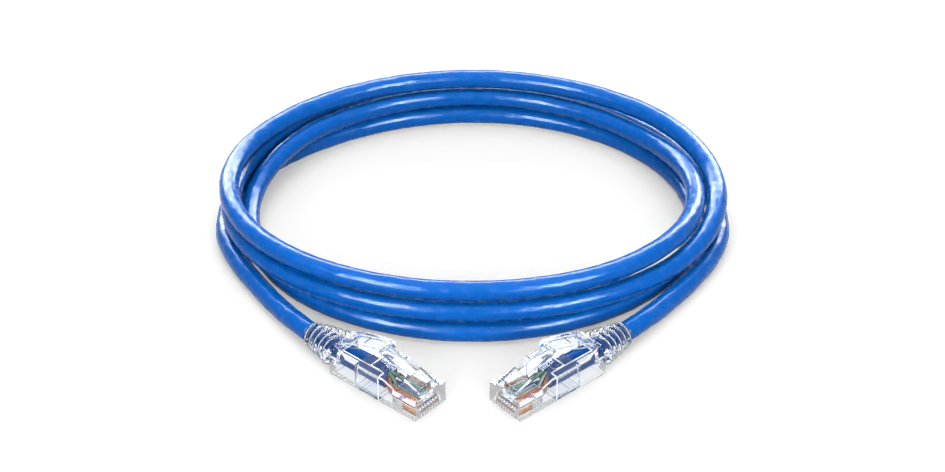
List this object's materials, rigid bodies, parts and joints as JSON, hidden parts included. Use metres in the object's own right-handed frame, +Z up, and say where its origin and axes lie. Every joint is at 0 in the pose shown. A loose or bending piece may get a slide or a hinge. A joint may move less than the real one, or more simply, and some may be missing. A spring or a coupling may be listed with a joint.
{
  "type": "ethernet patch cable",
  "caption": "Blue round network patch cable coiled on a table, with a clear modular plug, sprung latch and ribbed clear boot at each end.",
  "frame": {"origin": "on the table, bottom centre of the box round the two plugs and their boots", "axes": "+X to the right across the two plugs, +Y from the plugs' noses towards the coil, +Z up from the table"},
  "size_m": [0.1501, 0.157, 0.0177],
  "materials": {
    "blue_jacket": "semi-gloss moulded",
    "clear_housing": "clear polycarbonate",
    "clear_boot": "clear soft plastic",
    "orange_insulation": "smooth",
    "green_insulation": "smooth",
    "blue_insulation": "smooth",
    "brown_insulation": "smooth",
    "gold_contact": "gold plated"
  },
  "bodies": {
    "cable_and_plugs": {"cable_coil": "blue_jacket", "left_lead": "blue_jacket", "right_lead": "blue_jacket", "left_plug_housing": "clear_housing", "left_boot": "clear_boot", "left_jacket_end": "blue_jacket", "left_strain_bar": "clear_housing", "left_wire_bar": "clear_housing", "left_orange_pair": "orange_insulation", "left_green_pair": "green_insulation", "left_blue_pair": "blue_insulation", "left_brown_pair": "brown_insulation", "left_contact_1": "gold_contact", "left_contact_2": "gold_contact", "left_contact_3": "gold_contact", "left_contact_4": "gold_contact", "left_contact_5": "gold_contact", "left_contact_6": "gold_contact", "left_contact_7": "gold_contact", "left_contact_8": "gold_contact", "right_plug_housing": "clear_housing", "right_boot": "clear_boot", "right_jacket_end": "blue_jacket", "right_strain_bar": "clear_housing", "right_wire_bar": "clear_housing", "right_orange_pair": "orange_insulation", "right_green_pair": "green_insulation", "right_blue_pair": "blue_insulation", "right_brown_pair": "brown_insulation", "right_contact_1": "gold_contact", "right_contact_2": "gold_contact", "right_contact_3": "gold_contact", "right_contact_4": "gold_contact", "right_contact_5": "gold_contact", "right_contact_6": "gold_contact", "right_contact_7": "gold_contact", "right_contact_8": "gold_contact"},
    "left_latch": {"left_latch": "clear_housing"},
    "left_latch_guard": {"left_latch_guard": "clear_boot"},
    "right_latch": {"right_latch": "clear_housing"},
    "right_latch_guard": {"right_latch_guard": "clear_boot"}
  },
  "joints": [
    {"name": "left_latch_press", "type": "hinge", "parent": "cable_and_plugs", "child": "left_latch", "pos_m": [-0.01058, -0.01245, 0.0075], "axis": [-0.6561, -0.7547, 0], "range_deg": [0, 12], "stiffness_Nm_per_rad": 0.05},
    {"name": "left_guard_press", "type": "hinge", "parent": "cable_and_plugs", "child": "left_latch_guard", "pos_m": [-0.03149, 0.00573, 0.009], "axis": [0.6561, 0.7547, 0], "range_deg": [0, 13], "stiffness_Nm_per_rad": 0.02},
    {"name": "right_latch_press", "type": "hinge", "parent": "cable_and_plugs", "child": "right_latch", "pos_m": [0.01058, -0.01245, 0.0075], "axis": [-0.6561, 0.7547, 0], "range_deg": [0, 12], "stiffness_Nm_per_rad": 0.05},
    {"name": "right_guard_press", "type": "hinge", "parent": "cable_and_plugs", "child": "right_latch_guard", "pos_m": [0.03149, 0.00573, 0.009], "axis": [0.6561, -0.7547, 0], "range_deg": [0, 13], "stiffness_Nm_per_rad": 0.02}
  ],
  "couplings": [
    {"joint": "left_guard_press", "follows": "left_latch_press", "ratio": 1.075},
    {"joint": "right_guard_press", "follows": "right_latch_press", "ratio": 1.075}
  ]
}
